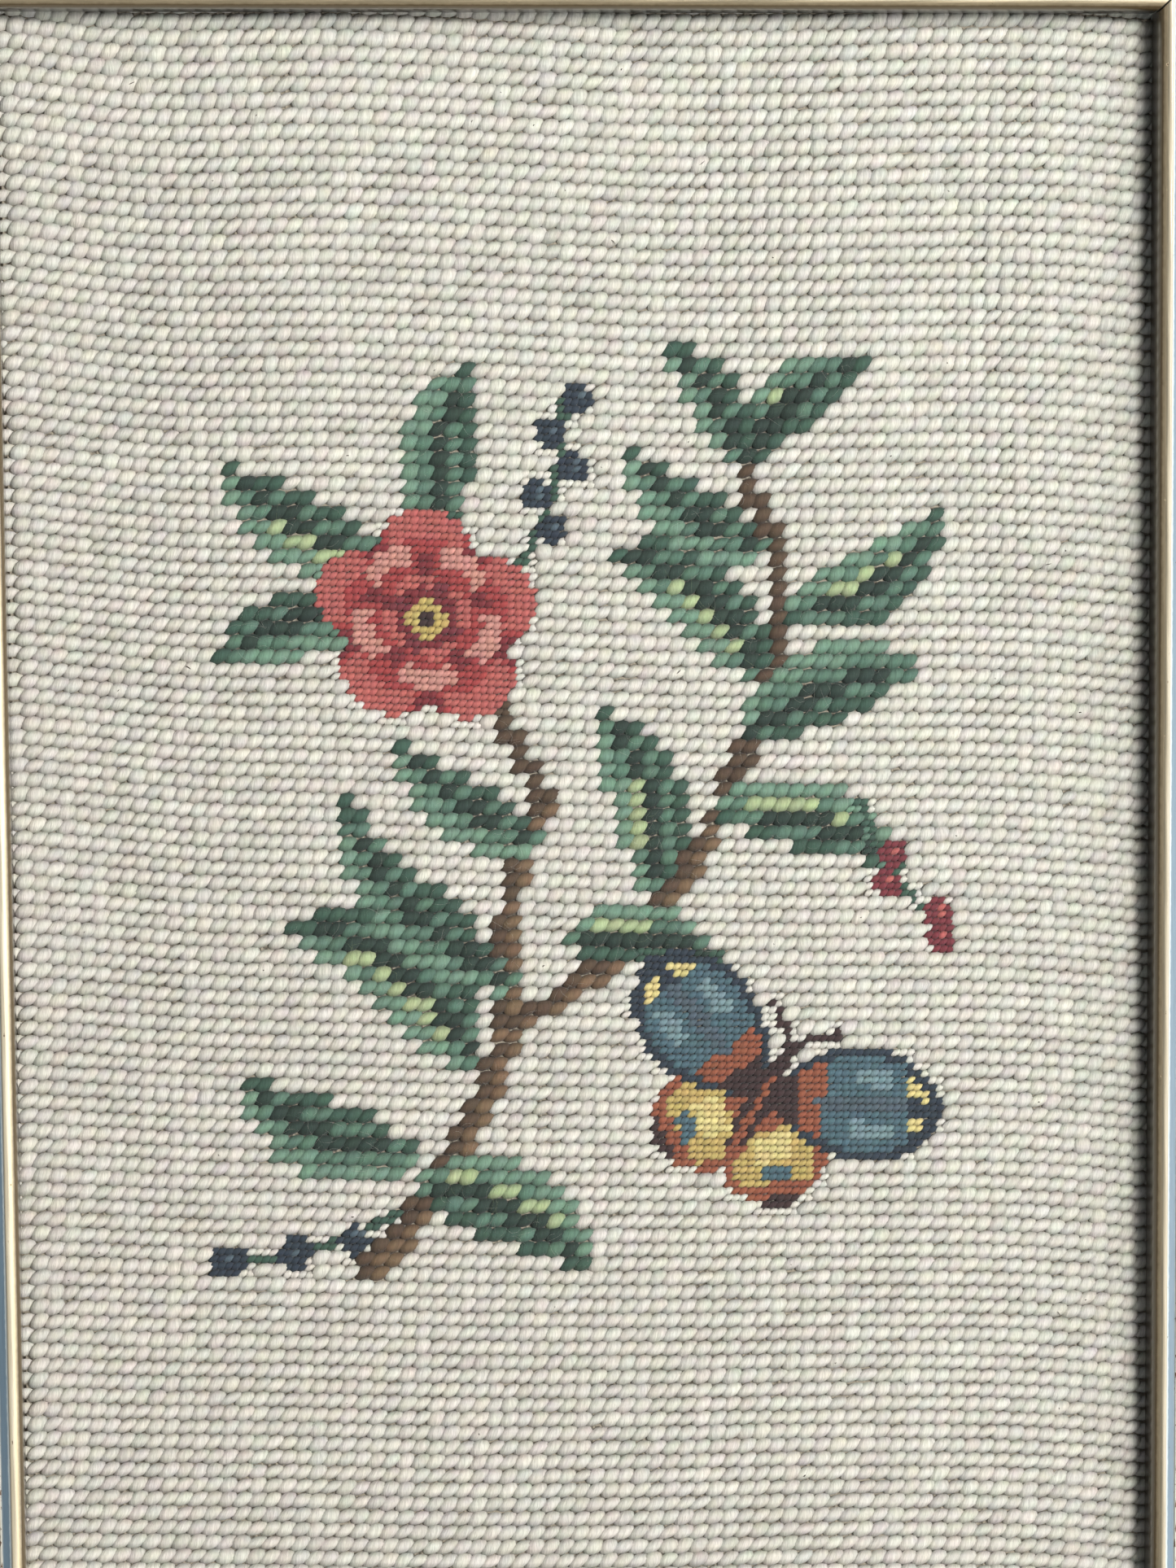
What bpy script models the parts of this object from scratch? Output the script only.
"""A framed needlepoint canvas panel lying face up, at its real size in metres.

The worked canvas is one sheet of wool stitches on double-thread canvas. It sits in the rebate of
a slim mitred moulding, under its lip. The origin is on the surface that the frame lies on, under
the middle of the frame. +Y runs to the top of the work, +X to its right, +Z out of its face.
"""

import math

import bmesh
import bpy
from mathutils import Matrix, Vector

MM = 0.001

# The canvas has ten pairs of threads to the inch, so one stitch covers 2.54 mm each way.
STITCH = 2.54 * MM
SHOWN_COLUMNS = 78
SHOWN_ROWS = 111
HIDDEN_STITCHES = 0.5

SIGHT_WIDTH = SHOWN_COLUMNS * STITCH
SIGHT_LENGTH = SHOWN_ROWS * STITCH
PANEL_WIDTH = SIGHT_WIDTH + 2 * HIDDEN_STITCHES * STITCH
PANEL_LENGTH = SIGHT_LENGTH + 2 * HIDDEN_STITCHES * STITCH
PANEL_THICKNESS = 3.0 * MM
CLEARANCE = 0.3 * MM

# The moulding, seen in section. Heights are above the surface that the frame lies on.
FACE_WIDTH = 4.4 * MM
FRAME_HEIGHT = 16.0 * MM
LIP_UNDERSIDE = 9.0 * MM
OVOLO_RADIUS = 2.0 * MM
CREST_RADIUS = 0.3 * MM
BAND_INNER_OUT = 2.4 * MM
BAND_INNER_UP = 15.2 * MM
BAND_OUTER_UP = 15.0 * MM
ARRIS_WIDTH = 0.5 * MM
ARRIS_UP = 15.25 * MM
ARRIS_RADIUS = 0.25 * MM
REBATE_WALL = FACE_WIDTH - HIDDEN_STITCHES * STITCH - CLEARANCE
ARC_STEPS = 8

PANEL_TOP = LIP_UNDERSIDE - CLEARANCE
GRID_COLUMNS = 26
GRID_ROWS = 36
# The sheet is level under the lip and takes on its full unevenness this far in from its edge.
LEVEL_RIM = 3.0 * MM
RIM_FADE = 14.0 * MM

CUTTER_SIZE = 24.0 * MM

# Soft ridges and hollows of the stretched canvas, in millimetres and degrees. Reach is the
# distance from the crest at which a swell has sunk to about 0.6 of its rise.
SWELL_COLUMNS = ("name", "x", "y", "reach_across", "reach_along", "turn", "rise")
SWELLS = (
    ("crown of the worked middle", 0, 2, 48, 74, 0, 0.55),
    ("upper left ridge", -57, 98, 12, 34, 0, 0.75),
    ("upper hollow", 17, 104, 12, 32, -4, -0.80),
    ("upper right ridge", 45, 96, 9, 38, 0, 0.60),
    ("right hollow", 63, 88, 8, 46, 2, -0.45),
    ("right ridge", 79, 84, 7, 44, 0, 0.50),
    ("left fall", -84, -10, 10, 60, 0, -0.60),
    ("lower left hollow", -46, -76, 20, 26, 25, -0.50),
    ("ridge beside the middle", 40, -6, 13, 40, -6, 0.40),
    ("lower right ridge", 34, -104, 32, 14, 8, 0.40),
)

# Each rail faces outward at this angle, and is as long as the frame along its own line.
RAIL_COLUMNS = ("name", "out_angle", "sight_distance", "sight_half_length")
RAILS = (
    ("frame_right", 0, SIGHT_WIDTH / 2, SIGHT_LENGTH / 2),
    ("frame_top", 90, SIGHT_LENGTH / 2, SIGHT_WIDTH / 2),
    ("frame_left", 180, SIGHT_WIDTH / 2, SIGHT_LENGTH / 2),
    ("frame_bottom", 270, SIGHT_LENGTH / 2, SIGHT_WIDTH / 2),
)

WOOL_CREAM = (0.60, 0.54, 0.44)
PAINT_CREAM = (0.66, 0.60, 0.48)


def clear_scene():
    for obj in list(bpy.data.objects):
        bpy.data.objects.remove(obj, do_unlink=True)


def collection(name):
    made = bpy.data.collections.new(name)
    bpy.context.scene.collection.children.link(made)
    return made


def finish(obj, colour, roughness, sheen=0.0):
    """Gives the object a material of its own, named after it."""
    material = bpy.data.materials.new(obj.name)
    material.use_nodes = True
    shader = material.node_tree.nodes["Principled BSDF"]
    shader.inputs["Base Color"].default_value = (*colour, 1.0)
    shader.inputs["Roughness"].default_value = roughness
    shader.inputs["Metallic"].default_value = 0.0
    shader.inputs["Sheen Weight"].default_value = sheen
    obj.data.materials.clear()
    obj.data.materials.append(material)


def rim_share(x, y):
    """0 on the level rim under the lip, rising smoothly to 1 inside the work."""
    inset = min(PANEL_WIDTH / 2 - abs(x), PANEL_LENGTH / 2 - abs(y))
    share = min(max((inset - LEVEL_RIM) / RIM_FADE, 0.0), 1.0)
    return share * share * (3 - 2 * share)


def swell_height(x, y):
    """The sheet's rise above its level rim: a sum of turned bell-shaped swells."""
    height = 0.0
    for row in SWELLS:
        swell = dict(zip(SWELL_COLUMNS, row))
        turn = math.radians(swell["turn"])
        from_x = x / MM - swell["x"]
        from_y = y / MM - swell["y"]
        across = (from_x * math.cos(turn) + from_y * math.sin(turn)) / swell["reach_across"]
        along = (from_y * math.cos(turn) - from_x * math.sin(turn)) / swell["reach_along"]
        height += swell["rise"] * math.exp(-(across * across + along * along) / 2)
    return height * MM * rim_share(x, y)


def needlepoint_panel(parts):
    """The worked canvas: one sheet that is level under the lip and gently uneven inside it."""
    shape = bmesh.new()
    half_size = Matrix.Diagonal((PANEL_WIDTH / 2, PANEL_LENGTH / 2, 1, 1))
    bmesh.ops.create_grid(
        shape, x_segments=GRID_COLUMNS, y_segments=GRID_ROWS, size=1, matrix=half_size
    )
    for point in shape.verts:
        point.co.z = swell_height(point.co.x, point.co.y)
    mesh = bpy.data.meshes.new("needlepoint_panel")
    shape.to_mesh(mesh)
    shape.free()
    mesh.shade_smooth()
    panel = bpy.data.objects.new("needlepoint_panel", mesh)
    panel.location = (0, 0, PANEL_TOP)
    parts.objects.link(panel)
    sheet = panel.modifiers.new("cloth thickness", "SOLIDIFY")
    sheet.thickness = PANEL_THICKNESS
    sheet.offset = -1
    finish(panel, WOOL_CREAM, roughness=0.9, sheen=0.3)


def arc(out, up, radius, start, end):
    """Points round an arc of the section, from one angle in degrees to another."""
    angles = [math.radians(start + (end - start) * i / ARC_STEPS) for i in range(ARC_STEPS + 1)]
    return [(out + radius * math.cos(a), up + radius * math.sin(a)) for a in angles]


def rail_section():
    """The moulding's outline as (out, up) points, out being measured from the sight edge.

    The sight wall is upright and turns over into a quarter round, whose crest drops to the band.
    """
    wall_inside = FACE_WIDTH - REBATE_WALL
    points = [(0, LIP_UNDERSIDE)]
    points += arc(OVOLO_RADIUS, FRAME_HEIGHT - OVOLO_RADIUS, OVOLO_RADIUS, 180, 90)
    points += arc(OVOLO_RADIUS, FRAME_HEIGHT - CREST_RADIUS, CREST_RADIUS, 90, 0)[1:]
    points += [(BAND_INNER_OUT, BAND_INNER_UP)]
    points += [(FACE_WIDTH - ARRIS_WIDTH, BAND_OUTER_UP)]
    points += arc(FACE_WIDTH - ARRIS_RADIUS, ARRIS_UP - ARRIS_RADIUS, ARRIS_RADIUS, 90, 0)
    points += [(FACE_WIDTH, 0), (wall_inside, 0), (wall_inside, LIP_UNDERSIDE)]
    return points


def extruded_section(name, length):
    """A mesh of the moulding's section carried straight along a length."""
    section = bpy.data.curves.new(name, "CURVE")
    section.dimensions = "2D"
    section.fill_mode = "BOTH"
    section.extrude = length / 2
    points = rail_section()
    line = section.splines.new("POLY")
    line.points.add(len(points) - 1)
    line.use_cyclic_u = True
    for place, (out, up) in zip(line.points, points):
        place.co = (out, up, 0, 1)
    guide = bpy.data.objects.new(name, section)
    bpy.context.scene.collection.objects.link(guide)
    graph = bpy.context.evaluated_depsgraph_get()
    mesh = bpy.data.meshes.new_from_object(guide.evaluated_get(graph))
    bpy.data.objects.remove(guide, do_unlink=True)
    shape = bmesh.new()
    shape.from_mesh(mesh)
    bmesh.ops.remove_doubles(shape, verts=shape.verts, dist=0.001 * MM)
    bmesh.ops.recalc_face_normals(shape, faces=shape.faces)
    shape.to_mesh(mesh)
    shape.free()
    mesh.shade_smooth()
    mesh.set_sharp_from_angle(angle=math.radians(35))
    return mesh


def mitre_cutter(rail, end, cutters):
    """A block whose face is the mitre at one end of a rail, set back by half the joint's gap."""
    turn = math.radians(rail["out_angle"])
    outward = Vector((math.cos(turn), math.sin(turn), 0))
    along = Vector((-math.sin(turn), math.cos(turn), 0)) * end
    on_mitre = outward * (rail["sight_distance"] + FACE_WIDTH / 2)
    on_mitre += along * (rail["sight_half_length"] + FACE_WIDTH / 2)
    off_the_rail = (along - outward).normalized()
    centre = on_mitre + off_the_rail * (CUTTER_SIZE / 2 - CLEARANCE / 2)
    centre.z = FRAME_HEIGHT / 2
    bpy.ops.mesh.primitive_cube_add(
        size=CUTTER_SIZE, location=centre, rotation=(0, 0, turn + math.radians(45))
    )
    block = bpy.context.object
    block.name = f"mitre of {rail['name']} at {'one' if end < 0 else 'the other'} end"
    block.hide_render = True
    block.display_type = "WIRE"
    for home in list(block.users_collection):
        home.objects.unlink(block)
    cutters.objects.link(block)
    return block


def frame_rail(row, parts, cutters):
    """One side of the frame: the moulding laid along its sight edge and mitred at both ends."""
    rail = dict(zip(RAIL_COLUMNS, row))
    turn = math.radians(rail["out_angle"])
    length = 2 * (rail["sight_half_length"] + FACE_WIDTH)
    side = bpy.data.objects.new(rail["name"], extruded_section(rail["name"], length))
    side.location = Vector((math.cos(turn), math.sin(turn), 0)) * rail["sight_distance"]
    side.rotation_euler = (math.radians(90), 0, turn)
    parts.objects.link(side)
    for end in (-1, 1):
        cut = side.modifiers.new("mitre", "BOOLEAN")
        cut.operation = "DIFFERENCE"
        cut.solver = "EXACT"
        cut.object = mitre_cutter(rail, end, cutters)
    finish(side, PAINT_CREAM, roughness=0.35)


def main():
    clear_scene()
    parts = collection("framed needlepoint canvas panel")
    cutters = collection("cutters")
    needlepoint_panel(parts)
    for row in RAILS:
        frame_rail(row, parts, cutters)


main()
